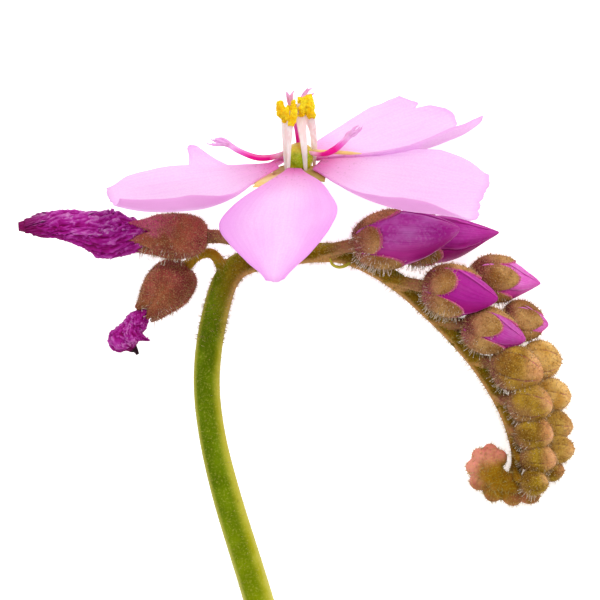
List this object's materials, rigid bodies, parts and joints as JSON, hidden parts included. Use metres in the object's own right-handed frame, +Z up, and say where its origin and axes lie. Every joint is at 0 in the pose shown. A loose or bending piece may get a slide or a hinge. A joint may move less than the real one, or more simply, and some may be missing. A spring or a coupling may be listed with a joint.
{
  "type": "sundew flower stalk",
  "caption": "Cut flowering stalk of a sundew lying on its side, with an open pink flower, withered flowers and a coiled row of buds.",
  "frame": {"origin": "centre of the bounding box's bottom face, on the surface the stalk lies on", "axes": "+Y from the stem's cut end towards the flower, +X towards the coiled row of buds, +Z up, away from the surface the stalk lies on"},
  "size_m": [0.0314, 0.0366, 0.0159],
  "materials": {
    "stem": "fresh green plant tissue, sparsely haired",
    "sepal": "rose-brown to tan, covered in short glandular hairs",
    "green_bud": "golden olive, covered in short glandular hairs",
    "petal": "thin and silky, finely veined",
    "furled_petal": "silky, tightly furled",
    "withered_petal": "dried and wrinkled",
    "ovary": "smooth and fresh",
    "style": "smooth",
    "filament": "smooth, translucent",
    "anther": "powdery pollen"
  },
  "bodies": {
    "root": {"stalk": "stem", "bud_01_calyx": "sepal", "bud_01_petals": "furled_petal", "bud_02_calyx": "sepal", "bud_02_petals": "furled_petal", "bud_03_calyx": "sepal", "bud_03_petals": "furled_petal", "bud_04_calyx": "sepal", "bud_04_petals": "furled_petal", "bud_05_calyx": "sepal", "bud_05_petals": "furled_petal", "bud_06_calyx": "sepal", "bud_06_petals": "furled_petal", "bud_07_calyx": "green_bud", "bud_08_calyx": "green_bud", "bud_09_calyx": "green_bud", "bud_10_calyx": "green_bud", "bud_11_calyx": "green_bud", "bud_12_calyx": "green_bud", "bud_13_calyx": "green_bud", "bud_14_calyx": "green_bud", "bud_15_calyx": "green_bud", "bud_16_calyx": "green_bud", "withered_1_calyx": "sepal", "withered_1_petals": "withered_petal", "withered_2_calyx": "sepal", "withered_2_petals": "withered_petal", "flower_calyx": "sepal", "flower_ovary": "ovary", "petal_front": "petal", "petal_right": "petal", "petal_rear_right": "petal", "petal_rear_left": "petal", "petal_left": "petal", "style_1": "style", "style_2": "style", "style_3": "style", "filament_1": "filament", "anther_1": "anther", "filament_2": "filament", "anther_2": "anther", "filament_3": "filament", "anther_3": "anther", "filament_4": "filament", "anther_4": "anther", "filament_5": "filament", "anther_5": "anther"}
  },
  "joints": []
}
